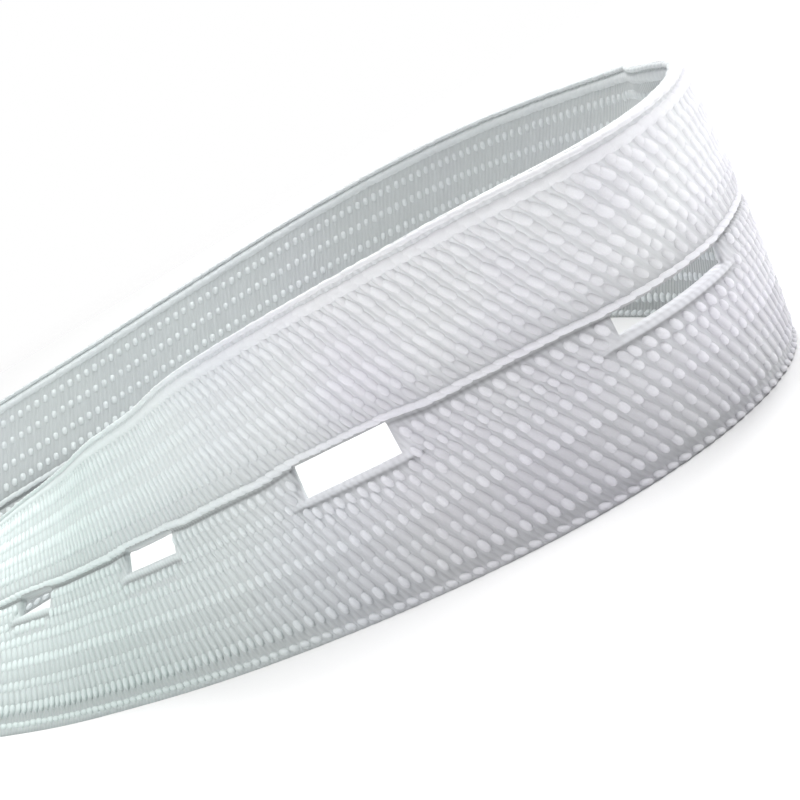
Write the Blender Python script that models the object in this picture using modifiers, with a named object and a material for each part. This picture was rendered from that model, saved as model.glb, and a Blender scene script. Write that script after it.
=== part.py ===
# A length of knitted buttonhole elastic, standing on one edge in an open loop.
# The tape is one solid: a ribbed band that turns, leans and bulges as it goes round,
# with a row of buttonhole slots between two of its ribs and two plain cut ends.
# Units are metres, +Z is up, and the origin is at the middle of the loop on the floor.

from math import cos, sin, tan

import bmesh
import bpy
import numpy as np
from mathutils import Matrix, Vector

MM = 0.001

# Driving dimensions of the tape
TAPE_WIDTH = 20.0 * MM
RIB_THICKNESS = 1.2 * MM
GROOVE_THICKNESS = 1.0 * MM

# Ribs across the tape, measured up from the foot edge
EDGE_RIB_INSET = 0.35 * MM
RIBS_EACH_SIDE = 5
LOWER_RIB_START = 1.6 * MM
LOWER_RIB_PITCH = 1.75 * MM
UPPER_RIB_START = 10.95 * MM
UPPER_RIB_PITCH = 1.68 * MM
EDGE_WEIGHT = 0.5

# The way the tape stands: a row for every twelfth course of the knitting, from the
# front cut end round to the back one. A course is one row of stitches across the tape.
COURSES_PER_ROW = 12
LOOP_COLUMNS = ("foot_mm", "heading_deg", "lean_deg", "bulge_mm")
LOOP_ROWS = (
    (0.0, -48, 59, 0.1),
    (11.1, -46, 52, -0.1),
    (22.2, -44, 45, -0.3),
    (30.9, -38, 38, -0.4),
    (39.2, -35, 32, -0.4),
    (47.7, -28, 22, -0.3),
    (58.3, -20, 13, -0.2),
    (69.6, -6, 4, -0.2),
    (80.6, 23, -9, -0.1),
    (91.2, 66, -5, 0.3),
    (101.3, 98, -3, 0.4),
    (112.1, 102, -15, 0.2),
    (125.6, 106, -14, 0.1),
    (137.9, 120, -8, 0.0),
    (149.3, 151, -8, 0.0),
    (159.5, 181, -11, 0.0),
    (170.4, 189, -15, 0.1),
    (182.5, 184, -19, 0.2),
    (194.4, 184, -21, 0.3),
    (205.9, 186, -22, 0.3),
)

# Buttonhole slots: first and last course, and the height of both long edges up the tape
SLOT_COLUMNS = ("first_course", "last_course", "low_mm", "high_mm")
SLOT_ROWS = (
    (17.5, 23.9, 9.1, 10.7),
    (41.2, 50.3, 9.1, 10.75),
    (67.6, 76.0, 8.7, 10.85),
    (91.8, 100.8, 8.85, 10.4),
    (117.1, 126.1, 8.7, 10.6),
    (142.4, 151.4, 8.7, 10.6),
    (167.7, 176.7, 8.7, 10.6),
    (193.0, 202.0, 8.7, 10.6),
)

# How finely the tape is divided
COURSES_PER_SECTION = 3
STEPS_PER_COURSE = 4

# Cutting blocks
FOOT_TRIM = 0.4 * MM
SLOT_CUT_DEPTH = 6.0 * MM
FLOOR_BLOCK_SIDE = 200.0 * MM
FLOOR_BLOCK_DEPTH = 10.0 * MM

TAPE_COLOR = (0.80, 0.83, 0.84, 1.0)
TAPE_ROUGHNESS = 0.85


def remove_old_objects():
    for old in list(bpy.data.objects):
        bpy.data.objects.remove(old, do_unlink=True)


def make_collection(name):
    collection = bpy.data.collections.new(name)
    bpy.context.scene.collection.children.link(collection)
    return collection


def table_columns(names, rows):
    return {name: np.array(values, dtype=float) for name, values in zip(names, zip(*rows))}


def smooth_rows(values, place):
    """Value at a place counted in rows, on a smooth curve through equally spaced rows."""
    slopes = np.gradient(values)
    row = np.clip(np.floor(place).astype(int), 0, len(values) - 2)
    u = place - row
    start = (2 * u**3 - 3 * u**2 + 1) * values[row] + (u**3 - 2 * u**2 + u) * slopes[row]
    end = (3 * u**2 - 2 * u**3) * values[row + 1] + (u**3 - u**2) * slopes[row + 1]
    return start + end


class TapeLoop:
    """The middle surface of the tape, by course along it and by height up it."""

    def __init__(self):
        table = table_columns(LOOP_COLUMNS, LOOP_ROWS)
        self.last_course = COURSES_PER_ROW * (len(LOOP_ROWS) - 1)
        self.course = np.linspace(0, self.last_course, self.last_course * STEPS_PER_COURSE + 1)
        place = self.course / COURSES_PER_ROW
        self.heading = np.radians(smooth_rows(table["heading_deg"], place))
        self.lean = np.radians(smooth_rows(table["lean_deg"], place))
        self.bulge = smooth_rows(table["bulge_mm"], place) * MM
        step = np.diff(smooth_rows(table["foot_mm"], place)) * MM
        middle = (self.heading[1:] + self.heading[:-1]) / 2
        self.x = np.concatenate([[0.0], np.cumsum(step * np.cos(middle))])
        self.y = np.concatenate([[0.0], np.cumsum(step * np.sin(middle))])
        self.centre()

    def at(self, course):
        """Foot point, heading, lean and bulge at a course."""
        names = ("x", "y", "heading", "lean", "bulge")
        return [float(np.interp(course, self.course, getattr(self, name))) for name in names]

    def directions(self, course):
        """Unit vectors along the tape, up it, and out of its inner face."""
        _, _, heading, lean, _ = self.at(course)
        along = Vector((cos(heading), sin(heading), 0.0))
        inward = Vector((-sin(heading), cos(heading), 0.0))
        up = inward * sin(lean) + Vector((0.0, 0.0, cos(lean)))
        face = inward * cos(lean) - Vector((0.0, 0.0, sin(lean)))
        return along, up, face

    def point(self, course, height):
        x, y, _, _, bulge = self.at(course)
        _, up, face = self.directions(course)
        share = min(max(height / TAPE_WIDTH, 0.0), 1.0)
        outward = bulge * 4 * share * (1 - share)
        return Vector((x, y, 0.0)) + up * height - face * outward

    def centre(self):
        """Move the plan so that the box around both faces has its middle at the origin."""
        reach = []
        for course in self.course[::STEPS_PER_COURSE]:
            _, _, face = self.directions(course)
            for side in (-RIB_THICKNESS / 2, RIB_THICKNESS / 2):
                foot = side * tan(self.at(course)[3])
                for height in (foot, TAPE_WIDTH / 2, TAPE_WIDTH):
                    reach.append(self.point(course, height) + face * side)
        for axis, name in enumerate("xy"):
            values = [corner[axis] for corner in reach]
            middle = (min(values) + max(values)) / 2
            setattr(self, name, getattr(self, name) - middle)


def rib_heights():
    lower = [LOWER_RIB_START + LOWER_RIB_PITCH * n for n in range(RIBS_EACH_SIDE)]
    upper = [UPPER_RIB_START + UPPER_RIB_PITCH * n for n in range(RIBS_EACH_SIDE)]
    return [EDGE_RIB_INSET] + lower + upper + [TAPE_WIDTH - EDGE_RIB_INSET]


def section_points():
    """Heights of the points across the tape, each with its share of the rib's relief."""
    ribs = rib_heights()
    points = [(0.0, EDGE_WEIGHT)]
    for low, high in zip(ribs, ribs[1:]):
        points.append((low, 1.0))
        points.append(((low + high) / 2, 0.0))
    points.append((ribs[-1], 1.0))
    points.append((TAPE_WIDTH, EDGE_WEIGHT))
    return points


def foot_height(loop, course):
    """Height of the foot row, low enough for both faces to reach the floor."""
    _, _, _, lean, _ = loop.at(course)
    return -FOOT_TRIM / cos(lean) - abs(tan(lean)) * RIB_THICKNESS / 2


def make_tape_mesh(loop, points):
    """An open grid bent to the loop, one column of points for each section."""
    sections = loop.last_course // COURSES_PER_SECTION
    spans = len(points) - 1
    bm = bmesh.new()
    bmesh.ops.create_grid(bm, x_segments=sections, y_segments=spans, size=0.5)
    relief = bm.verts.layers.deform.verify()
    for vert in bm.verts:
        course = round((vert.co.x + 0.5) * sections) * COURSES_PER_SECTION
        row = round((vert.co.y + 0.5) * spans)
        height, weight = points[row]
        if row == 0:
            height = foot_height(loop, course)
        vert.co = loop.point(course, height)
        vert[relief][0] = weight
    mesh = bpy.data.meshes.new("elastic_tape")
    bm.to_mesh(mesh)
    bm.free()
    return mesh


def make_block(name, size, matrix, collection):
    """A box that only cuts: it is kept out of renders and drawn as wires."""
    bm = bmesh.new()
    bmesh.ops.create_cube(bm, size=1.0, matrix=Matrix.Diagonal((*size, 1.0)))
    mesh = bpy.data.meshes.new(name)
    bm.to_mesh(mesh)
    bm.free()
    block = bpy.data.objects.new(name, mesh)
    block.matrix_world = matrix
    block.hide_render = True
    block.display_type = "WIRE"
    collection.objects.link(block)
    return block


def make_floor_block(collection):
    place = Matrix.Translation((0.0, 0.0, -FLOOR_BLOCK_DEPTH / 2))
    size = (FLOOR_BLOCK_SIDE, FLOOR_BLOCK_SIDE, FLOOR_BLOCK_DEPTH)
    return make_block("floor_block", size, place, collection)


def make_slot_block(loop, number, slot, collection):
    """A box through the tape, as long and as high as one buttonhole slot."""
    first = slot["first_course"]
    last = slot["last_course"]
    low = slot["low_mm"] * MM
    high = slot["high_mm"] * MM
    height = (low + high) / 2
    start = loop.point(first, height)
    end = loop.point(last, height)
    _, up, face = loop.directions((first + last) / 2)
    along = (end - start).normalized()
    face = (face - along * face.dot(along)).normalized()
    up = along.cross(up).cross(along).normalized()
    turn = Matrix((along, up, along.cross(up))).transposed().to_4x4()
    place = Matrix.Translation((start + end) / 2) @ turn
    size = ((end - start).length, high - low, SLOT_CUT_DEPTH)
    return make_block("slot_block_%d" % number, size, place, collection)


def add_cut(target, block):
    cut = target.modifiers.new("Cut " + block.name, "BOOLEAN")
    cut.operation = "DIFFERENCE"
    cut.solver = "EXACT"
    cut.object = block


def make_tape_material():
    material = bpy.data.materials.new("white_elastic_knit")
    material.use_nodes = True
    shader = material.node_tree.nodes["Principled BSDF"]
    shader.inputs["Base Color"].default_value = TAPE_COLOR
    shader.inputs["Roughness"].default_value = TAPE_ROUGHNESS
    shader.inputs["Metallic"].default_value = 0.0
    return material


def make_tape(loop, collection, cutters):
    tape = bpy.data.objects.new("elastic_tape", make_tape_mesh(loop, section_points()))
    tape.data.materials.append(make_tape_material())
    collection.objects.link(tape)
    tape.vertex_groups.new(name="rib")
    solidify = tape.modifiers.new("Thickness", "SOLIDIFY")
    solidify.thickness = RIB_THICKNESS
    solidify.offset = 0.0
    solidify.vertex_group = "rib"
    solidify.thickness_vertex_group = GROOVE_THICKNESS / RIB_THICKNESS
    add_cut(tape, make_floor_block(cutters))
    for number, row in enumerate(SLOT_ROWS, start=1):
        slot = dict(zip(SLOT_COLUMNS, row))
        add_cut(tape, make_slot_block(loop, number, slot, cutters))
    return tape


def main():
    remove_old_objects()
    loop = TapeLoop()
    parts = make_collection("buttonhole_elastic")
    cutters = make_collection("cutters")
    make_tape(loop, parts, cutters)


main()
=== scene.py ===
from math import pi, radians

import bmesh
import bpy
import numpy as np
from mathutils import Matrix, Vector


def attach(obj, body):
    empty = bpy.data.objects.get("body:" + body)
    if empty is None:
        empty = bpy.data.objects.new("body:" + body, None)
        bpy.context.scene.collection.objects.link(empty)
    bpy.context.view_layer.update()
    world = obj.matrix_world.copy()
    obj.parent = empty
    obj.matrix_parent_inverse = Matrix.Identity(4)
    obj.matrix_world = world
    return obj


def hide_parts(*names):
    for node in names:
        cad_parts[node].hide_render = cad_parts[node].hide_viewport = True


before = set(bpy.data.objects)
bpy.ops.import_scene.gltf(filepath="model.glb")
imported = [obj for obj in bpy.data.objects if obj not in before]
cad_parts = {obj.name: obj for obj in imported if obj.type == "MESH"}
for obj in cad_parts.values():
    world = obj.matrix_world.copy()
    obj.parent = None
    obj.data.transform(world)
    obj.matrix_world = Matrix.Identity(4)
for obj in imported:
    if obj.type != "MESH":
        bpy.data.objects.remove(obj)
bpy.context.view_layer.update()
mm = 0.001


# small helpers
def hexColor(code, alpha=1.0):
    # sRGB hex to the linear colour that the shaders use
    values = [int(code[i:i + 2], 16) / 255 for i in (1, 3, 5)]
    linear = [v / 12.92 if v <= 0.04045 else ((v + 0.055) / 1.055) ** 2.4 for v in values]
    return (*linear, alpha)


def addNode(tree, kind, settings=None, inputs=None, links=None):
    # settings are the node's own options, inputs are plain values, links are output sockets
    node = tree.nodes.new(kind)
    for name, value in (settings or {}).items():
        setattr(node, name, value)
    for name, value in (inputs or {}).items():
        node.inputs[name].default_value = value
    for name, socket in (links or {}).items():
        tree.links.new(socket, node.inputs[name])
    return node


def addObject(name, data):
    piece = bpy.data.objects.new(name, data)
    bpy.context.scene.collection.objects.link(piece)
    return piece


def unit(vectors):
    return vectors / np.linalg.norm(vectors, axis=-1, keepdims=True)


# the way the tape stands
# The same rows as in the part's source: one for every twelfth course, from the front cut end.
# A course is one row of stitches across the tape.
loopColumns = ("footMm", "headingDeg", "leanDeg", "bulgeMm")
loopRows = (
    (0.0, -48, 59, 0.1),
    (11.1, -46, 52, -0.1),
    (22.2, -44, 45, -0.3),
    (30.9, -38, 38, -0.4),
    (39.2, -35, 32, -0.4),
    (47.7, -28, 22, -0.3),
    (58.3, -20, 13, -0.2),
    (69.6, -6, 4, -0.2),
    (80.6, 23, -9, -0.1),
    (91.2, 66, -5, 0.3),
    (101.3, 98, -3, 0.4),
    (112.1, 102, -15, 0.2),
    (125.6, 106, -14, 0.1),
    (137.9, 120, -8, 0.0),
    (149.3, 151, -8, 0.0),
    (159.5, 181, -11, 0.0),
    (170.4, 189, -15, 0.1),
    (182.5, 184, -19, 0.2),
    (194.4, 184, -21, 0.3),
    (205.9, 186, -22, 0.3),
)

# The buttonhole slots, and the heights of their long edges
slotColumns = ("firstCourse", "lastCourse", "lowMm", "highMm")
slotRows = (
    (17.5, 23.9, 9.1, 10.7),
    (41.2, 50.3, 9.1, 10.75),
    (67.6, 76.0, 8.7, 10.85),
    (91.8, 100.8, 8.85, 10.4),
    (117.1, 126.1, 8.7, 10.6),
    (142.4, 151.4, 8.7, 10.6),
    (167.7, 176.7, 8.7, 10.6),
    (193.0, 202.0, 8.7, 10.6),
)
slots = [dict(zip(slotColumns, row)) for row in slotRows]

tape = {
    "width": 20.0 * mm,
    "ribThickness": 1.2 * mm,      # over the stitches of both faces
    "coursesPerRow": 12,
    "stepsPerCourse": 4,
    "restLow": 8.9,                # height of the slit's lower edge between slots, in mm
    "restHigh": 10.55,             # and of its upper edge
    "settle": 3.0,                 # courses over which the slit's edges come together
}


def smoothRows(values, place):
    # a smooth curve through equally spaced rows
    slopes = np.gradient(values)
    row = np.clip(np.floor(place).astype(int), 0, len(values) - 2)
    u = place - row
    start = (2 * u**3 - 3 * u**2 + 1) * values[row] + (u**3 - 2 * u**2 + u) * slopes[row]
    end = (3 * u**2 - 2 * u**3) * values[row + 1] + (u**3 - u**2) * slopes[row + 1]
    return start + end


class TapeLoop:
    def __init__(self):
        columns = dict(zip(loopColumns, np.array(loopRows, dtype=float).T))
        self.last = tape["coursesPerRow"] * (len(loopRows) - 1)
        self.course = np.linspace(0, self.last, self.last * tape["stepsPerCourse"] + 1)
        place = self.course / tape["coursesPerRow"]
        self.heading = np.radians(smoothRows(columns["headingDeg"], place))
        self.lean = np.radians(smoothRows(columns["leanDeg"], place))
        self.bulge = smoothRows(columns["bulgeMm"], place) * mm
        self.foot = smoothRows(columns["footMm"], place) * mm
        step = np.diff(self.foot)
        middle = (self.heading[1:] + self.heading[:-1]) / 2
        self.x = np.concatenate([[0.0], np.cumsum(step * np.cos(middle))])
        self.y = np.concatenate([[0.0], np.cumsum(step * np.sin(middle))])
        self.centre()

    def at(self, name, course):
        return np.interp(course, self.course, getattr(self, name))

    def directions(self, course):
        # unit vectors along the tape, up it, and out of its inner face
        heading = self.at("heading", course)
        lean = self.at("lean", course)
        flat = np.zeros_like(heading)
        along = np.stack([np.cos(heading), np.sin(heading), flat], axis=-1)
        inward = np.stack([-np.sin(heading), np.cos(heading), flat], axis=-1)
        upright = np.array([0.0, 0.0, 1.0])
        up = inward * np.sin(lean)[..., None] + upright * np.cos(lean)[..., None]
        face = inward * np.cos(lean)[..., None] - upright * np.sin(lean)[..., None]
        return along, up, face

    def point(self, course, height, level=0.0):
        # level is the distance from the middle surface, towards the inner face
        course, height = np.broadcast_arrays(np.asarray(course, float), height)
        floor = np.zeros(course.shape)
        foot = np.stack([self.at("x", course), self.at("y", course), floor], axis=-1)
        _, up, face = self.directions(course)
        share = np.clip(height / tape["width"], 0.0, 1.0)
        outward = self.at("bulge", course) * 4 * share * (1 - share) - level
        return foot + up * height[..., None] - face * outward[..., None]

    def centre(self):
        # the box around both faces has its middle at the origin, as in the CAD model
        course = self.course[::tape["stepsPerCourse"]]
        reach = []
        for side in (-tape["ribThickness"] / 2, tape["ribThickness"] / 2):
            foot = side * np.tan(self.at("lean", course))
            for height in (foot, tape["width"] / 2, tape["width"]):
                reach.append(self.point(course, height, side))
        reach = np.concatenate(reach)
        self.x = self.x - (reach[:, 0].min() + reach[:, 0].max()) / 2
        self.y = self.y - (reach[:, 1].min() + reach[:, 1].max()) / 2

    def slitEdge(self, column, rest, course):
        # height in mm of one edge of the slit, which opens only at the slots
        places, heights = [], []
        for slot in slots:
            first, last = slot["firstCourse"], slot["lastCourse"]
            places += [first - tape["settle"], first, last, last + tape["settle"]]
            heights += [rest, slot[column], slot[column], rest]
        return np.interp(course, places, heights)

    def lowEdge(self, course):
        return self.slitEdge("lowMm", tape["restLow"], course)

    def highEdge(self, course):
        return self.slitEdge("highMm", tape["restHigh"], course)

    def inSlot(self, course, margin):
        # whether a course meets a slot, or comes within a margin of it
        met = np.zeros(np.shape(course), dtype=bool)
        for slot in slots:
            met |= (course > slot["firstCourse"] - margin) & (course < slot["lastCourse"] + margin)
        return met


loop = TapeLoop()
print("loop: %.1f mm of tape" % (loop.foot[-1] / mm))


# camera
camera = {
    "place": Vector((11.778, -115.407, 29.842)) * mm,
    "lookDown": radians(12.155),
    "roll": radians(30.722),
    "focalPixels": 1458.9,
    "frameWidth": 800,             # in pixels
    "sensor": 36.0,                # in mm
    "nearest": 5 * mm,
    "farthest": 50.0,
}


def makeCamera():
    data = bpy.data.cameras.new("photo_camera")
    data.sensor_width = camera["sensor"]
    data.lens = camera["focalPixels"] * camera["sensor"] / camera["frameWidth"]
    data.clip_start = camera["nearest"]
    data.clip_end = camera["farthest"]
    tilt = Matrix.Rotation(radians(90) - camera["lookDown"], 4, "X")
    eye = addObject("photo_camera", data)
    eye.matrix_world = Matrix.Translation(camera["place"]) @ tilt @ Matrix.Rotation(-camera["roll"], 4, "Z")
    bpy.context.scene.camera = eye
    print("camera: %.1f mm lens" % data.lens)


makeCamera()


# materials
yarnLook = {
    "base": "#f7f8fb",
    "cool": "#e7f4f2",             # the faint green of the left part
    "lavender": "#f2f0fa",         # the faint lavender of the middle
    "coolFrom": 10.0 * mm,         # along X
    "coolTo": -13.0 * mm,
    "patchesPerMetre": 70.0,
    "patchFrom": 0.42,             # the noise between these makes the patches of lavender
    "patchTo": 0.62,
    "patchLeast": 0.05,
    "patchMost": 0.70,
    "crest": 0.375,                # where the map round the yarn has its outward side
    "paintedShadeRound": (0.0, 0.26),       # the colour is painted darker between these, in turns from the crest: painted shade at the sides
    "paintedShadeAlong": (0.10, 0.46),       # and between these, in lengths from the middle: painted shade at the ends
    "speckle": 0.95,
    "pliesRound": 3.0,             # ridges of twisted filaments round the yarn
    "pliesAlong": 2.0,
    "plyShare": 0.6,               # of the bump, beside the filaments
    "filament": 0.09 * mm,         # drawn coarser than the real 0.02 mm filament, to show at all
    "relief": 0.03 * mm,
    "bump": 0.25,
    "roughness": 0.55,
    "ior": 1.55,
    "specular": 0.30,
    "sheen": 0.30,
    "sheenRoughness": 0.5,
}


def newMaterial(name):
    material = bpy.data.materials.new(name)
    material.use_nodes = True
    tree = material.node_tree
    tree.nodes.clear()
    output = addNode(tree, "ShaderNodeOutputMaterial")
    shader = addNode(tree, "ShaderNodeBsdfPrincipled")
    tree.links.new(shader.outputs[0], output.inputs[0])
    return material, tree, shader


def colorCast(tree, place, coolLeast, coolMost):
    # base white with patches of lavender, and a cool cast towards the left
    patches = addNode(
        tree, "ShaderNodeTexNoise", inputs={"Scale": yarnLook["patchesPerMetre"], "Detail": 2.0},
        links={"Vector": place},
    )
    amount = addNode(
        tree, "ShaderNodeMapRange",
        inputs={"From Min": yarnLook["patchFrom"], "From Max": yarnLook["patchTo"],
                "To Min": yarnLook["patchLeast"], "To Max": yarnLook["patchMost"]},
        links={"Value": patches.outputs["Fac"]},
    )
    tinted = addNode(
        tree, "ShaderNodeMix", settings={"data_type": "RGBA"},
        inputs={6: hexColor(yarnLook["base"]), 7: hexColor(yarnLook["lavender"])},
        links={0: amount.outputs[0]},
    )
    side = addNode(tree, "ShaderNodeSeparateXYZ", links={"Vector": place})
    leftness = addNode(
        tree, "ShaderNodeMapRange",
        inputs={"From Min": yarnLook["coolFrom"], "From Max": yarnLook["coolTo"],
                "To Min": coolLeast, "To Max": coolMost},
        links={"Value": side.outputs["X"]},
    )
    return addNode(
        tree, "ShaderNodeMix", settings={"data_type": "RGBA"},
        inputs={7: hexColor(yarnLook["cool"])},
        links={0: leftness.outputs[0], 6: tinted.outputs[2]},
    ).outputs[2]


def multiply(tree, color, factor):
    return addNode(
        tree, "ShaderNodeMix", settings={"data_type": "RGBA", "blend_type": "MULTIPLY"},
        inputs={0: 1.0}, links={6: color, 7: factor},
    ).outputs[2]


def finishYarn(shader):
    for name, value in (("Roughness", "roughness"), ("IOR", "ior"), ("Specular IOR Level", "specular"),
                        ("Sheen Weight", "sheen"), ("Sheen Roughness", "sheenRoughness")):
        shader.inputs[name].default_value = yarnLook[value]


def makeYarn(name, shade, ends, sides, coolLeast, coolMost):
    # textured polyester yarn, knitted over rubber: soft, slightly shiny twisted filaments;
    # its colour is painted lighter on its crest and darker where it sinks between its neighbours, as painted
    # shade
    material, tree, shader = newMaterial(name)
    place = addNode(tree, "ShaderNodeTexCoord").outputs["Object"]
    color = colorCast(tree, place, coolLeast, coolMost)
    fine = addNode(
        tree, "ShaderNodeTexNoise",
        inputs={"Scale": 1 / yarnLook["filament"], "Detail": 3.0, "Roughness": 0.6},
        links={"Vector": place},
    )
    speckle = addNode(
        tree, "ShaderNodeMapRange",
        inputs={"From Min": 0.3, "From Max": 0.7, "To Min": yarnLook["speckle"] * shade, "To Max": shade},
        links={"Value": fine.outputs["Fac"]},
    )
    # its own map runs round (X) and along (Y) each length of yarn
    lengths = addNode(tree, "ShaderNodeUVMap", settings={"uv_map": "roundAndAlong"})
    where = addNode(tree, "ShaderNodeSeparateXYZ", links={"Vector": lengths.outputs["UV"]})
    shaded = multiply(tree, color, speckle.outputs[0])
    # painted shade: the colour darkens away from the crest round the yarn, and towards both ends along it
    falls = (("X", yarnLook["crest"], yarnLook["paintedShadeRound"], sides), ("Y", 0.5, yarnLook["paintedShadeAlong"], ends))
    for axis, centre, (near, far), least in falls:
        off = addNode(
            tree, "ShaderNodeMath", settings={"operation": "SUBTRACT"}, inputs={1: centre},
            links={0: where.outputs[axis]},
        )
        away = addNode(
            tree, "ShaderNodeMath", settings={"operation": "PINGPONG"}, inputs={1: 0.5},
            links={0: off.outputs[0]},
        )
        light = addNode(
            tree, "ShaderNodeMapRange", settings={"interpolation_type": "SMOOTHSTEP"},
            inputs={"From Min": near, "From Max": far, "To Min": 1.0, "To Max": least},
            links={"Value": away.outputs[0]},
        )
        shaded = multiply(tree, shaded, light.outputs[0])
    # the plies wind round it
    turned = addNode(
        tree, "ShaderNodeMath", settings={"operation": "MULTIPLY"},
        inputs={1: 2 * pi * yarnLook["pliesRound"]}, links={0: where.outputs["X"]},
    )
    wound = addNode(
        tree, "ShaderNodeMath", settings={"operation": "MULTIPLY_ADD"},
        inputs={1: 2 * pi * yarnLook["pliesAlong"]}, links={0: where.outputs["Y"], 2: turned.outputs[0]},
    )
    plies = addNode(tree, "ShaderNodeMath", settings={"operation": "SINE"}, links={0: wound.outputs[0]})
    relief = addNode(
        tree, "ShaderNodeMath", settings={"operation": "MULTIPLY_ADD"},
        inputs={1: yarnLook["plyShare"]}, links={0: plies.outputs[0], 2: fine.outputs["Fac"]},
    )
    bump = addNode(
        tree, "ShaderNodeBump",
        inputs={"Strength": yarnLook["bump"], "Distance": yarnLook["relief"]},
        links={"Height": relief.outputs[0]},
    )
    tree.links.new(shaded, shader.inputs["Base Color"])
    tree.links.new(bump.outputs[0], shader.inputs["Normal"])
    finishYarn(shader)
    return material


weftLook = {
    "strokesPerCourse": 2.0,
    "slantPerMm": 0.55,            # courses that the fine strokes move along for each mm down
    "valley": 0.95,                # shade between two strokes
    "relief": 0.06 * mm,
    "bump": 0.4,
}


def makeWeft(name, shade, coolLeast, coolMost):
    # the fine polyester weft under the ribs: slanting strokes with painted shade between them, and painted
    # shade and light by height: darker where it lies deep and low down, lighter higher up
    material, tree, shader = newMaterial(name)
    place = addNode(tree, "ShaderNodeTexCoord").outputs["Object"]
    color = colorCast(tree, place, coolLeast, coolMost)
    across = addNode(tree, "ShaderNodeUVMap", settings={"uv_map": "courseAndHeight"})
    parts = addNode(tree, "ShaderNodeSeparateXYZ", links={"Vector": across.outputs["UV"]})
    slid = addNode(
        tree, "ShaderNodeMath", settings={"operation": "MULTIPLY_ADD"},
        inputs={1: weftLook["slantPerMm"]}, links={0: parts.outputs["Y"], 2: parts.outputs["X"]},
    )
    angle = addNode(
        tree, "ShaderNodeMath", settings={"operation": "MULTIPLY"},
        inputs={1: 2 * pi * weftLook["strokesPerCourse"]}, links={0: slid.outputs[0]},
    )
    wave = addNode(tree, "ShaderNodeMath", settings={"operation": "SINE"}, links={0: angle.outputs[0]})
    strokes = addNode(
        tree, "ShaderNodeMapRange",
        inputs={"From Min": -1.0, "From Max": 1.0, "To Min": weftLook["valley"] * shade, "To Max": shade},
        links={"Value": wave.outputs[0]},
    )
    # painted light and shade: the ground's attribute darkens its grooves and lower rows and lightens its
    # upper rows
    deep = addNode(tree, "ShaderNodeAttribute", settings={"attribute_name": "paintedLightAndShade"})
    bump = addNode(
        tree, "ShaderNodeBump", inputs={"Strength": weftLook["bump"], "Distance": weftLook["relief"]},
        links={"Height": wave.outputs[0]},
    )
    textured = multiply(tree, color, strokes.outputs[0])
    tree.links.new(multiply(tree, textured, deep.outputs["Fac"]), shader.inputs["Base Color"])
    tree.links.new(bump.outputs[0], shader.inputs["Normal"])
    finishYarn(shader)
    return material


# The shades are painted shade and light: the loops stand out and are painted lighter, the floats and the
# ground lie lower and are painted darker, and the links darker than the strokes. The foot ribs are painted
# darker still, as painted shade towards the bottom, the upper strokes lightest, as painted light on the
# upper half, and the yarns of the inner face darker, as painted shade on that face. After the piece and its
# material come the shade, what is left of it at the ends and at the sides of a stitch, and how strong the
# cool cast is at the right and at the left.
yarnRows = (
    ("outerBeads", "polyester_loops_of_ribs", 0.92, 0.86, 0.88, 0.0, 1.0),
    ("outerFloats", "polyester_floats_between_ribs", 0.81, 0.97, 0.88, 0.0, 1.0),
    # the foot ribs: painted shade, darker towards the bottom
    ("footBeads", "polyester_loops_of_foot_ribs_painted_darker", 0.82, 0.88, 0.88, 0.0, 1.0),
    ("footFloats", "polyester_floats_of_foot_ribs_painted_darker", 0.72, 0.97, 0.88, 0.0, 1.0),
    ("outerCords", "polyester_loops_of_cord", 0.94, 0.98, 0.93, 0.0, 1.0),
    # the upper strokes: painted light, lightest on the upper half
    ("outerStrokes", "polyester_strokes_painted_lightest", 0.99, 0.90, 0.88, 0.0, 1.0),
    ("outerLinks", "polyester_links_of_strokes", 0.93, 0.97, 0.88, 0.0, 1.0),
    # the inner face: painted shade, darker than the outer face
    ("innerCords", "polyester_cord_reverse_painted_darker", 0.77, 1.0, 0.92, 0.40, 0.60),
    ("innerStrokes", "polyester_beads_reverse_painted_darker", 0.81, 0.90, 0.88, 0.40, 0.60),
)
yarns = {piece: makeYarn(*settings) for piece, *settings in yarnRows}

# The ground's own materials, in the order of its material slots. Their shades are painted: the outer face
# darker than the loops as it lies lower, the reverse face darker still as painted shade on that face, and
# the slot walls lighter than the outer face, as painted light that softens their shade.
outerLook, innerLook, wallLook = 0, 1, 2
weftRows = (
    ("fine_polyester_weft_ground", 0.79, 0.1, 0.9),
    ("weft_ground_reverse_painted_darker", 0.56, 0.45, 0.65),
    ("weft_ground_in_a_slot_painted_lighter", 0.86, 0.1, 0.9),
)
wefts = [makeWeft(*settings) for settings in weftRows]
print("materials: %d yarns, %d looks of the ground" % (len(yarns), len(wefts)))


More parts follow.
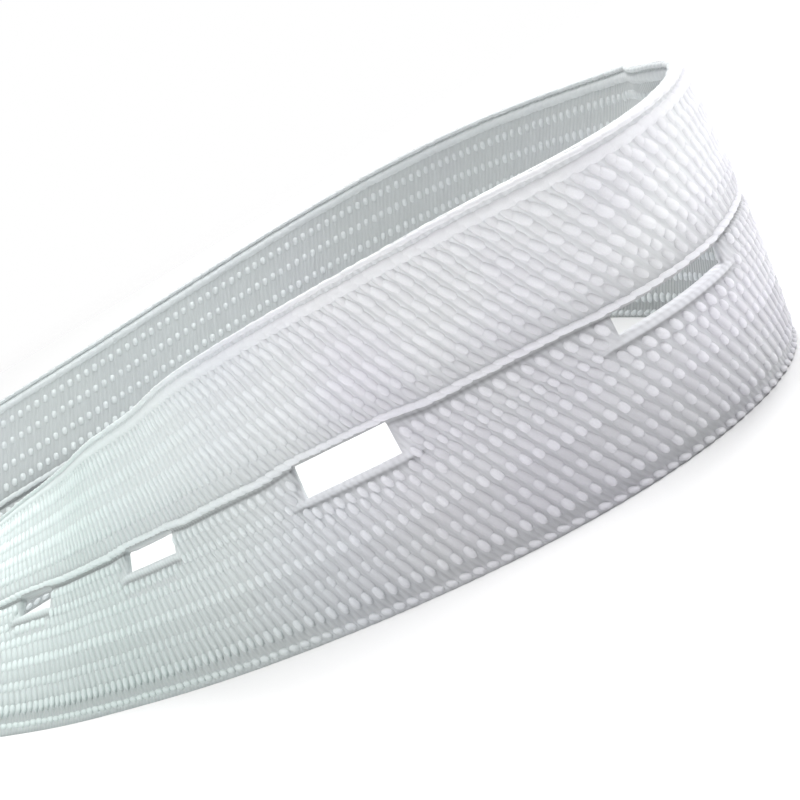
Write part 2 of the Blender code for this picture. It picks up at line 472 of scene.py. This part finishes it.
# the ground of the knit
# The rows are a height in mm, the knit's thickness there in mm, and a factor of painted light and shade:
# below 1 it paints shade into the grooves and the lower rows, above 1 it paints the upper rows lighter.
ground = {
    "stepCourses": 1.0,
    "clearOfEnds": 0.25,           # courses that keep this far from a slot's end
    "leastStep": 0.02,             # mm between two rows of points
    "lower": (
        (0.0, 0.70, 0.9), (0.25, 0.72, 0.9), (0.62, 0.58, 0.76), (1.0, 0.58, 0.75), (1.32, 0.68, 0.83),
        (2.5, 0.84, 0.84), (3.6, 0.84, 0.86), (4.7, 0.84, 0.90), (5.8, 0.84, 0.95), (6.9, 0.84, 0.96),
    ),
    "upper": (
        (11.4, 0.80, 0.90), (12.2, 0.84, 1.0), (12.7, 0.84, 1.05), (14.4, 0.88, 1.08), (15.4, 0.88, 1.1),
        (16.4, 0.88, 1.1), (17.4, 0.88, 1.1), (18.4, 0.86, 1.1), (19.30, 0.80, 1.1), (19.50, 0.72, 1.05),
        (19.68, 0.72, 1.05), (20.0, 0.60, 1.0),
    ),
    # heights from the slit's lower edge, where the slots have a soft lip, and from its upper edge; the dips
    # paint shade into the grooves along the slit, the lip is painted lighter, and the last row paints a
    # shadow line along the upper edge
    "underLip": ((-1.0, 0.80, 0.9), (-0.76, 0.66, 0.75), (-0.58, 0.50, 0.60), (-0.40, 0.80, 1.0),
                 (-0.20, 0.90, 1.15), (0.0, 0.74, 1.12)),
    "overLip": ((-0.34, 0.78, 0.9), (-0.16, 0.42, 0.5), (0.0, 0.66, 0.62)),
    "lipReach": 1.2,               # courses that the lip goes on past a slot
    "restThickness": 0.84,         # mm, below the slit between slots
    "restLight": 0.95,
    "lintelThickness": 1.00,       # mm, over an open slot
    "lintelInset": 0.3,            # courses that the lintel keeps from a slot's end
    "endThickness": 0.45,          # mm, at the two ends of a slot
}
slotEnds = np.array([slot[name] for slot in slots for name in ("firstCourse", "lastCourse")])


def groundCourses():
    # a column of points for every course, and one at each end of a slot
    courses = np.arange(0, loop.last + 0.1, ground["stepCourses"])
    courses = courses[np.abs(courses[:, None] - slotEnds).min(axis=1) > ground["clearOfEnds"]]
    return np.sort(np.concatenate([courses, slotEnds]))


def groundRows(courses):
    # heights and thickness in metres and the painted light and shade, by course and row, and the spans that
    # a slot cuts
    low, high = loop.lowEdge(courses), loop.highEdge(courses)
    nearSlot = loop.inSlot(courses, ground["lipReach"])
    overSlot = loop.inSlot(courses, -ground["lintelInset"])
    atEnd = np.isin(courses, slotEnds)
    flat = np.ones(len(courses))
    rows = [(flat * height, flat * thickness, flat * light) for height, thickness, light in ground["lower"]]
    for rise, thickness, light in ground["underLip"]:
        thick = np.where(nearSlot, thickness, ground["restThickness"])
        thick = np.where(atEnd & (rise == 0.0), ground["endThickness"], thick)
        rows.append((low + rise, thick, np.where(nearSlot, light, ground["restLight"])))
    slitSpans = range(len(rows) - 1, len(rows) + len(ground["overLip"]) - 1)
    for rise, thickness, light in ground["overLip"]:
        thick = np.where(overSlot & (rise == 0.0), ground["lintelThickness"], thickness)
        thick = np.where(atEnd & (rise < 0.0), np.minimum(thick, ground["endThickness"]), thick)
        rows.append((high + rise, thick, flat * light))
    rows += [(flat * height, flat * thickness, flat * light) for height, thickness, light in ground["upper"]]
    heights, thick, paintedLightAndShade = (np.array(values).T for values in zip(*rows))
    return heights * mm, thick * mm, paintedLightAndShade, slitSpans


def groundPoints(courses, heights, thick):
    # the points of the outer face, then those of the inner one
    grid = np.repeat(courses[:, None], heights.shape[1], axis=1)
    lean = loop.at("lean", courses)
    faces = []
    for side in (-1, 1):
        level = side * thick / 2
        raised = heights.copy()
        raised[:, 0] = level[:, 0] * np.tan(lean)      # the foot is flat on the floor
        for i in range(1, heights.shape[1]):
            raised[:, i] = np.maximum(raised[:, i], raised[:, i - 1] + ground["leastStep"] * mm)
        faces.append(loop.point(grid, raised, level).reshape(-1, 3))
    place = np.stack([grid, heights / mm], axis=-1).reshape(-1, 2)
    return np.concatenate(faces), np.concatenate([place, place])


def groundQuads(courses, rows, slitSpans):
    # both faces with the slots left out, walls round every edge, and the look of each quad
    columns = len(courses)
    shift = columns * rows         # from a point of the outer face to its partner on the inner one
    openSlot = loop.inSlot((courses[1:] + courses[:-1]) / 2, 0.0)
    quads, looks, edges = [], [], {}
    for i in range(columns - 1):
        for j in range(rows - 1):
            if openSlot[i] and j in slitSpans:
                continue
            a, b = i * rows + j, (i + 1) * rows + j
            quads.append((a, b, b + 1, a + 1))
            quads.append((a + 1 + shift, b + 1 + shift, b + shift, a + shift))
            looks += [outerLook, innerLook]
            for start, end in ((a, b), (b, b + 1), (b + 1, a + 1), (a + 1, a)):
                if (end, start) in edges:
                    del edges[(end, start)]
                else:
                    edges[(start, end)] = True
    for start, end in edges:
        quads.append((end, start, start + shift, end + shift))
        onCutEnd = start // rows == end // rows and start // rows in (0, columns - 1)
        onLongEdge = start % rows == end % rows and start % rows in (0, rows - 1)
        looks.append(outerLook if onCutEnd or onLongEdge else wallLook)
    return quads, looks


def dropLoosePoints(mesh):
    bm = bmesh.new()
    bm.from_mesh(mesh)
    bmesh.ops.delete(bm, geom=[v for v in bm.verts if not v.link_faces], context="VERTS")
    bm.to_mesh(mesh)
    bm.free()


def makeGround():
    courses = groundCourses()
    heights, thick, paintedLightAndShade, slitSpans = groundRows(courses)
    points, place = groundPoints(courses, heights, thick)
    quads, looks = groundQuads(courses, heights.shape[1], slitSpans)
    mesh = bpy.data.meshes.new("knit_ground")
    mesh.from_pydata([tuple(p) for p in points], [], quads)
    layer = mesh.uv_layers.new(name="courseAndHeight")
    corners = np.empty(len(mesh.loops), dtype=np.int32)
    mesh.loops.foreach_get("vertex_index", corners)
    layer.data.foreach_set("uv", place[corners].astype(np.float32).ravel())
    # the painted light and shade of each row, the same on both faces
    mesh.attributes.new("paintedLightAndShade", "FLOAT", "POINT").data.foreach_set(
        "value", np.tile(paintedLightAndShade.reshape(-1), 2).astype(np.float32))
    mesh.polygons.foreach_set("use_smooth", np.ones(len(mesh.polygons), dtype=bool))
    mesh.polygons.foreach_set("material_index", np.array(looks, dtype=np.int32))
    mesh.update()
    dropLoosePoints(mesh)          # those in the open slots belong to no face
    for weft in wefts:
        mesh.materials.append(weft)
    print("ground: %d faces" % len(quads))
    return addObject("knit_ground", mesh)


knitGround = makeGround()


# stitches
def makeStitchTree():
    # a short fat length of yarn on every point: turned and sized by the point's own attributes
    tree = bpy.data.node_groups.new("yarn_stitches", "GeometryNodeTree")
    face = tree.interface
    face.new_socket("Geometry", in_out="INPUT", socket_type="NodeSocketGeometry")
    for name, kind in (("Sides", "NodeSocketInt"), ("Rings", "NodeSocketInt"),
                       ("Bluntness", "NodeSocketFloat"), ("Bend", "NodeSocketFloat"),
                       ("Unevenness", "NodeSocketFloat"), ("Seed", "NodeSocketInt"),
                       ("Yarn", "NodeSocketMaterial")):
        face.new_socket(name, in_out="INPUT", socket_type=kind)
    face.new_socket("Geometry", in_out="OUTPUT", socket_type="NodeSocketGeometry")
    given = addNode(tree, "NodeGroupInput")
    ball = addNode(
        tree, "GeometryNodeMeshUVSphere", inputs={"Radius": 0.5},
        links={"Segments": given.outputs["Sides"], "Rings": given.outputs["Rings"]},
    )
    mapped = addNode(
        tree, "GeometryNodeStoreNamedAttribute",
        settings={"data_type": "FLOAT2", "domain": "CORNER"}, inputs={"Name": "roundAndAlong"},
        links={"Geometry": ball.outputs["Mesh"], "Value": ball.outputs["UV Map"]},
    )
    # the ball's poles point along the yarn, after a quarter turn
    laid = addNode(
        tree, "GeometryNodeTransform", inputs={"Rotation": (0.0, radians(90), 0.0)},
        links={"Geometry": mapped.outputs[0]},
    )
    # its rings move towards the ends, so that these are blunter than a ball's: x grows by b (1 - 2 |x|)
    here = addNode(tree, "GeometryNodeInputPosition")
    parts = addNode(tree, "ShaderNodeSeparateXYZ", links={"Vector": here.outputs[0]})
    away = addNode(
        tree, "ShaderNodeMath", settings={"operation": "ABSOLUTE"}, links={0: parts.outputs["X"]},
    )
    room = addNode(
        tree, "ShaderNodeMath", settings={"operation": "MULTIPLY_ADD"}, inputs={1: -2.0, 2: 1.0},
        links={0: away.outputs[0]},
    )
    push = addNode(
        tree, "ShaderNodeMath", settings={"operation": "MULTIPLY"},
        links={0: room.outputs[0], 1: given.outputs["Bluntness"]},
    )
    moved = addNode(
        tree, "ShaderNodeMath", settings={"operation": "MULTIPLY"},
        links={0: push.outputs[0], 1: parts.outputs["X"]},
    )
    # and the length bends sideways like an S, by b sin (2 pi x)
    angle = addNode(
        tree, "ShaderNodeMath", settings={"operation": "MULTIPLY"}, inputs={1: 2 * pi},
        links={0: parts.outputs["X"]},
    )
    wave = addNode(tree, "ShaderNodeMath", settings={"operation": "SINE"}, links={0: angle.outputs[0]})
    sway = addNode(
        tree, "ShaderNodeMath", settings={"operation": "MULTIPLY"},
        links={0: wave.outputs[0], 1: given.outputs["Bend"]},
    )
    offset = addNode(tree, "ShaderNodeCombineXYZ", links={"X": moved.outputs[0], "Y": sway.outputs[0]})
    blunt = addNode(
        tree, "GeometryNodeSetPosition", links={"Geometry": laid.outputs[0], "Offset": offset.outputs[0]},
    )
    smooth = addNode(tree, "GeometryNodeSetShadeSmooth", links={"Geometry": blunt.outputs[0]})
    # every stitch is a little larger or smaller than its own size
    turn = addNode(
        tree, "GeometryNodeInputNamedAttribute", settings={"data_type": "FLOAT_VECTOR"},
        inputs={"Name": "turn"},
    )
    size = addNode(
        tree, "GeometryNodeInputNamedAttribute", settings={"data_type": "FLOAT_VECTOR"},
        inputs={"Name": "size"},
    )
    least = addNode(
        tree, "ShaderNodeMath", settings={"operation": "SUBTRACT"}, inputs={0: 1.0},
        links={1: given.outputs["Unevenness"]},
    )
    most = addNode(
        tree, "ShaderNodeMath", settings={"operation": "ADD"}, inputs={0: 1.0},
        links={1: given.outputs["Unevenness"]},
    )
    factor = addNode(
        tree, "FunctionNodeRandomValue", settings={"data_type": "FLOAT"},
        links={"Min": least.outputs[0], "Max": most.outputs[0], "Seed": given.outputs["Seed"]},
    )
    scale = addNode(
        tree, "ShaderNodeVectorMath", settings={"operation": "SCALE"},
        links={0: size.outputs[0], "Scale": factor.outputs["Value"]},
    )
    turned = addNode(tree, "FunctionNodeEulerToRotation", links={0: turn.outputs[0]})
    placed = addNode(
        tree, "GeometryNodeInstanceOnPoints",
        links={"Points": given.outputs["Geometry"], "Instance": smooth.outputs[0],
               "Rotation": turned.outputs[0], "Scale": scale.outputs[0]},
    )
    real = addNode(tree, "GeometryNodeRealizeInstances", links={"Geometry": placed.outputs[0]})
    dressed = addNode(
        tree, "GeometryNodeSetMaterial",
        links={"Geometry": real.outputs[0], "Material": given.outputs["Yarn"]},
    )
    leaving = addNode(tree, "NodeGroupOutput")
    tree.links.new(dressed.outputs[0], leaving.inputs[0])
    return tree


stitchTree = makeStitchTree()


def eulers(x, y, z):
    # turns whose axes are the columns x, y, z, as XYZ Euler angles
    turns = np.stack([x, y, z], axis=-1)
    return np.array([Matrix(t).to_euler("XYZ")[:] for t in turns])


def makeStitches(name, batches, shape, yarn):
    # batches are (start, end, width, depth, normal) arrays, one stitch an entry
    places, turns, sizes = [], [], []
    for start, end, width, depth, normal in batches:
        along = end - start
        length = np.linalg.norm(along, axis=-1)
        x = along / length[:, None]
        y = unit(np.cross(normal, x))
        z = np.cross(x, y)
        places.append((start + end) / 2)
        turns.append(eulers(x, y, z))
        sizes.append(np.stack([length, width, depth], axis=-1))
    places, turns, sizes = (np.concatenate(v) for v in (places, turns, sizes))
    points = bpy.data.meshes.new(name + "_points")
    points.from_pydata([tuple(p) for p in places], [], [])
    for label, values in (("turn", turns), ("size", sizes)):
        points.attributes.new(label, "FLOAT_VECTOR", "POINT").data.foreach_set(
            "vector", values.astype(np.float32).ravel())
    holder = addObject(name + "_points", points)
    modifier = holder.modifiers.new("stitches", "NODES")
    modifier.node_group = stitchTree
    for item in stitchTree.interface.items_tree:
        if item.in_out == "INPUT" and item.name in shape:
            modifier[item.identifier] = shape[item.name]
        elif item.name == "Yarn":
            modifier[item.identifier] = yarn
    bpy.context.view_layer.update()
    depsgraph = bpy.context.evaluated_depsgraph_get()
    plain = bpy.data.meshes.new_from_object(holder.evaluated_get(depsgraph), depsgraph=depsgraph)
    bpy.data.objects.remove(holder, do_unlink=True)
    for label in ("turn", "size"):
        if label in plain.attributes:
            plain.attributes.remove(plain.attributes[label])
    plain.name = name
    print("%s: %d stitches, %d faces" % (name, len(places), len(plain.polygons)))
    return addObject(name, plain)


# Sizes: slant and shift in courses, wide in courses or thick in mm; tall, deep, cap and levels (of the
# top and the bottom end, from the middle of the tape) in mm. The yarn runs down to the right outside,
# one course for each rib, so that the beads and the floats join in slanting ridges.
bead = {"wide": 0.66, "tall": 0.46, "slant": 0.26, "cap": 0.50, "deep": 0.55, "levels": (0.345, 0.355)}
lowerFloat = {"wide": 0.76, "tall": 0.84, "slant": 0.48, "cap": 0.55, "deep": 0.48,
              "levels": (0.345, 0.335), "shift": 0.5}
shortFloat = {"wide": 0.76, "tall": 0.55, "slant": 0.38, "cap": 0.48, "deep": 0.47,
              "levels": (0.345, 0.335), "shift": 0.5}
lipBead = {"wide": 0.64, "tall": 0.42, "slant": 0.34, "cap": 0.46, "deep": 0.54,
           "levels": (0.345, 0.345), "shift": 0.2}
lowSlitBead = {"wide": 0.62, "tall": 0.42, "slant": 0.30, "cap": 0.46, "deep": 0.54,
               "levels": (0.34, 0.35)}
slitBead = {"wide": 0.66, "tall": 0.42, "slant": 0.32, "cap": 0.48, "deep": 0.55,
            "levels": (0.34, 0.35)}
postFloat = {"wide": 0.64, "tall": 0.60, "slant": 0.36, "cap": 0.45, "deep": 0.44,
             "levels": (0.33, 0.32), "shift": 0.5}
upperBead = {"wide": 0.64, "tall": 0.42, "slant": 0.28, "cap": 0.46, "deep": 0.54,
             "levels": (0.345, 0.36)}
upperStroke = {"wide": 0.74, "tall": 0.84, "slant": 0.48, "cap": 0.50, "deep": 0.54,
               "levels": (0.34, 0.365)}
strokeLink = {"wide": 0.72, "tall": 0.66, "slant": 0.38, "cap": 0.50, "deep": 0.47,
              "levels": (0.34, 0.33), "shift": 0.5}
softBand = {"thick": 0.88, "tall": 0.06, "slant": 1.35, "cap": 0.60, "deep": 0.48,
            "levels": (0.345, 0.345), "shift": 0.4}
innerBead = {"wide": 0.64, "tall": 0.26, "slant": 0.26, "cap": 0.42, "deep": 0.46,
             "levels": (0.37, 0.37)}
cordStitch = {"thick": 0.54, "tall": 0.12, "slant": 1.10, "cap": 0.50, "deep": 0.52,
              "levels": (0.32, 0.33)}
footSelvage = {"thick": 0.46, "tall": 0.14, "slant": 0.45, "cap": 0.40, "deep": 0.52,
               "levels": (0.34, 0.32), "overFloor": 0.02}
topSelvage = {"thick": 0.42, "tall": 0.04, "slant": 1.1, "cap": 0.50, "deep": 0.60,
              "levels": (0.26, 0.26)}

# Heights in mm of the lines of stitches, from the foot up. Some follow the slit's edges instead.
lineHeights = {
    "footSelvage": 0.31,
    "footBeads": (1.58, 3.33),
    "footFloats": (2.46, 4.21),
    "beads": (5.08, 6.90),
    "float": 6.00,
    "floatUnderSlit": 7.66,
    "lowSlitBeads": 8.42,
    "slitFloat": 9.10,
    "slitBeads": 9.80,
    "lipUnderEdge": 1.12,
    "cordOverEdge": 0.32,
    "postOverEdge": 0.55,
    "postTop": 12.4,
    "upperBeads": 12.65,
    "strokes": (14.15, 16.0, 17.8),
    "links": (13.35, 15.08, 16.9, 18.42),
    "outerBand": 19.03,
    "innerBand": 19.12,
    "topSelvage": 19.80,
    "innerBeads": (1.58, 3.33, 5.08, 6.90, 12.0, 13.8, 15.8, 17.7),
}

knitting = {
    "seed": 7,
    "unevenCourses": 0.035,        # how far a stitch may be off its place
    "unevenMm": 0.025,
    "leastReach": 0.5,             # courses that a stitch keeps from the cut ends
    "usualWidth": 0.7,             # courses, where a stitch's width is given in mm
    "clearOfSlot": 0.9,            # courses that most stitches beside a slot keep from it
    "slitBeadsClear": 0.5,
    "lipPastSlot": 0.2,
}
chance = np.random.default_rng(knitting["seed"])


def stitchLine(height, side, spec, keep=None):
    # one stitch a course along the tape, at a height in mm; side is -1 outside and 1 inside
    course = np.arange(0.0, loop.last, 1.0) + spec.get("shift", 0.0)
    dx, dy = spec["slant"] / 2, spec["tall"] / 2
    reach = max(abs(dx) + spec.get("wide", knitting["usualWidth"]) / 2, knitting["leastReach"])
    course = course[(course > reach) & (course < loop.last - reach)]
    if keep is not None:
        course = course[keep(course)]
    tall = height(course) if callable(height) else np.full(course.shape, float(height))
    tall = tall + chance.uniform(-1, 1, course.shape) * knitting["unevenMm"]
    course = course + chance.uniform(-1, 1, course.shape) * knitting["unevenCourses"]
    upper, lower = spec["levels"]
    if "overFloor" in spec:
        # the foot stitches of a leaning part sit a little higher, clear of the floor
        lean = loop.at("lean", course)
        tall = np.maximum(tall, side * upper * np.tan(lean) + dy + spec["cap"] / 2 + spec["overFloor"])
    start = loop.point(course - dx, (tall + dy) * mm, side * upper * mm)
    end = loop.point(course + dx, (tall - dy) * mm, side * lower * mm)
    face = loop.directions(course)[2]
    before, after = (loop.point(course + half, tall * mm) for half in (-0.5, 0.5))
    pitch = np.linalg.norm(after - before, axis=-1)
    length = np.linalg.norm(end - start, axis=-1)
    middle, half = (start + end) / 2, (end - start) / 2
    grow = 1 + spec["cap"] * mm / length
    start, end = middle - half * grow[:, None], middle + half * grow[:, None]
    width = np.full(course.shape, spec["thick"] * mm) if "thick" in spec else spec["wide"] * pitch
    depth = np.full(course.shape, spec["deep"] * mm)
    return start, end, width, depth, face * side


def inSlots(margin):
    return lambda course: loop.inSlot(course, margin)


def betweenSlots(margin):
    return lambda course: ~loop.inSlot(course, margin)


def cordHeight(course):
    return loop.highEdge(course) + lineHeights["cordOverEdge"]


def postHeight(course):
    return (loop.highEdge(course) + lineHeights["postOverEdge"] + lineHeights["postTop"]) / 2


def lipHeight(course):
    return loop.lowEdge(course) - lineHeights["lipUnderEdge"]


def linesOfFace(side):
    # each line's kind, height, stitch and courses. The inner face is flatter: it has small beads
    # between plain bands of the ground.
    heights = lineHeights
    clear = betweenSlots(knitting["clearOfSlot"])
    lines = [
        ("Cords", cordHeight, cordStitch, None),
        ("Cords", heights["outerBand" if side < 0 else "innerBand"], softBand, None),
        ("Cords", heights["topSelvage"], topSelvage, None),
    ]
    if side > 0:
        lines.append(("Cords", heights["footSelvage"], footSelvage, None))
        lines += [("Strokes", height, innerBead, None) for height in heights["innerBeads"]]
        lines += [("Strokes", heights[name], innerBead, clear) for name in ("lowSlitBeads", "slitBeads")]
        return lines
    lines.append(("FootBeads", heights["footSelvage"], footSelvage, None))
    lines += [("FootBeads", height, bead, None) for height in heights["footBeads"]]
    lines += [("FootFloats", height, lowerFloat, None) for height in heights["footFloats"]]
    lines += [("Beads", height, bead, None) for height in heights["beads"]]
    lines += [
        ("Beads", heights["lowSlitBeads"], lowSlitBead, clear),
        ("Beads", heights["slitBeads"], slitBead, betweenSlots(knitting["slitBeadsClear"])),
        ("Beads", lipHeight, lipBead, inSlots(knitting["lipPastSlot"])),
        ("Floats", heights["float"], lowerFloat, None),
        ("Floats", heights["floatUnderSlit"], shortFloat, betweenSlots(0.0)),
        ("Floats", heights["slitFloat"], shortFloat, clear),
        ("Floats", postHeight, postFloat, None),
        ("Beads", heights["upperBeads"], upperBead, None),
    ]
    lines += [("Strokes", height, upperStroke, None) for height in heights["strokes"]]
    lines += [("Links", height, strokeLink, None) for height in heights["links"]]
    return lines


# The stitch of each kind of line: 48 faces, with ends from round (0) to blunt, and a slight S bend
shapes = {
    "Beads": {"Sides": 8, "Rings": 6, "Bluntness": 0.15, "Bend": 0.0, "Unevenness": 0.08, "Seed": 3},
    "Floats": {"Sides": 8, "Rings": 6, "Bluntness": 0.55, "Bend": 0.06, "Unevenness": 0.06, "Seed": 11},
    "Cords": {"Sides": 8, "Rings": 6, "Bluntness": 0.50, "Bend": 0.0, "Unevenness": 0.025, "Seed": 5},
    "Strokes": {"Sides": 8, "Rings": 6, "Bluntness": 0.30, "Bend": 0.08, "Unevenness": 0.07, "Seed": 17},
    "Links": {"Sides": 8, "Rings": 6, "Bluntness": 0.50, "Bend": 0.0, "Unevenness": 0.05, "Seed": 29},
}
shapes["FootBeads"] = shapes["Beads"]
shapes["FootFloats"] = shapes["Floats"]


def knitFace(sideName, side):
    # one joined mesh for each kind of stitch on this face
    batches = {}
    for kind, height, spec, keep in linesOfFace(side):
        batches.setdefault(kind, []).append(stitchLine(height, side, spec, keep))
    made = []
    for kind, shape in shapes.items():
        if kind in batches:
            name = kind.replace("Foot", "foot") if kind.startswith("Foot") else sideName + kind
            made.append(makeStitches(name, batches[kind], shape, yarns[name]))
    return made


pieces = knitFace("outer", -1) + knitFace("inner", 1)
triangles = sum(len(p.vertices) - 2 for piece in pieces for p in piece.data.polygons)
print("stitches in all: %d triangles" % triangles)


# what each piece stands for
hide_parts("elastic_tape")
for piece in [knitGround] + pieces:
    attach(piece, "root")


# floor and light
studio = {
    "floor": "#f0f0f0",
    "floorRadius": 0.60,
    "floorSides": 96,
    "floorRoughness": 0.9,
    "floorSpecular": 0.1,
    "fadeFrom": 0.16,              # the paper melts into the white backdrop between these distances
    "fadeTo": 0.55,
    "backdrop": "#ffffff",
    "ambient": 0.38,
}

# Each lamp's name, its place and what it faces, its size across and its power in watts
lampRows = (
    ("overhead_softbox", (0.0, 0.0, 0.70), (0, 0, 0.01), 0.30, 1.50),
    ("right_softbox", (0.50, -0.10, 0.50), (0, 0, 0.01), 0.25, 1.38),
    ("far_softbox", (0.10, 0.50, 0.50), (0, 0, 0.01), 0.25, 1.2),
    ("far_right_softbox", (0.40, 0.35, 0.45), (0, 0, 0.01), 0.25, 1.2),
    ("near_left_panel", (-0.13, -0.07, 0.08), (-0.03, -0.01, 0.01), 0.10, 0.075),
    ("near_right_panel", (0.13, -0.06, 0.14), (0.03, 0.0, 0.012), 0.10, 0.078),
    ("near_far_panel", (0.05, 0.05, 0.12), (0, 0, 0.01), 0.06, 0.06),
)


def makeFloor():
    # matt white paper, cut round: it shows only soft shadows and fades out towards its rim
    mesh = bpy.data.meshes.new("studio_floor")
    turns = np.linspace(0, 2 * np.pi, studio["floorSides"], endpoint=False)
    rim = [(studio["floorRadius"] * np.cos(t), studio["floorRadius"] * np.sin(t), 0.0) for t in turns]
    mesh.from_pydata(rim, [], [tuple(range(len(rim)))])
    floor = addObject("studio_floor", mesh)
    material, tree, shader = newMaterial("matt_white_paper_floor")
    place = addNode(tree, "ShaderNodeTexCoord").outputs["Object"]
    away = addNode(tree, "ShaderNodeVectorMath", settings={"operation": "LENGTH"}, links={0: place})
    fade = addNode(
        tree, "ShaderNodeMapRange", settings={"interpolation_type": "SMOOTHSTEP"},
        inputs={"From Min": studio["fadeFrom"], "From Max": studio["fadeTo"], "To Min": 1.0, "To Max": 0.0},
        links={"Value": away.outputs["Value"]},
    )
    tree.links.new(fade.outputs[0], shader.inputs["Alpha"])
    shader.inputs["Base Color"].default_value = hexColor(studio["floor"])
    shader.inputs["Roughness"].default_value = studio["floorRoughness"]
    shader.inputs["Specular IOR Level"].default_value = studio["floorSpecular"]
    mesh.materials.append(material)


def makeLamp(name, place, target, size, watts):
    data = bpy.data.lights.new(name, "AREA")
    data.shape = "DISK"
    data.size = size
    data.energy = watts
    lamp = addObject(name, data)
    lamp.visible_camera = False
    aim = (Vector(target) - Vector(place)).to_track_quat("-Z", "Y")
    lamp.matrix_world = Matrix.Translation(place) @ aim.to_matrix().to_4x4()


def makeWorld():
    # a white backdrop that lights the tape only softly
    world = bpy.data.worlds.new("studio_world")
    world.use_nodes = True
    tree = world.node_tree
    tree.nodes.clear()
    seen = addNode(tree, "ShaderNodeLightPath")
    color = hexColor(studio["backdrop"])
    soft = addNode(tree, "ShaderNodeBackground", inputs={"Color": color, "Strength": studio["ambient"]})
    white = addNode(tree, "ShaderNodeBackground", inputs={"Color": color, "Strength": 1.0})
    mixed = addNode(
        tree, "ShaderNodeMixShader",
        links={0: seen.outputs["Is Camera Ray"], 1: soft.outputs[0], 2: white.outputs[0]},
    )
    output = addNode(tree, "ShaderNodeOutputWorld")
    tree.links.new(mixed.outputs[0], output.inputs["Surface"])
    bpy.context.scene.world = world


makeFloor()
makeWorld()
for lampRow in lampRows:
    makeLamp(*lampRow)
bpy.context.scene.view_settings.view_transform = "Standard"
print("studio: floor, backdrop and %d lamps" % len(lampRows))
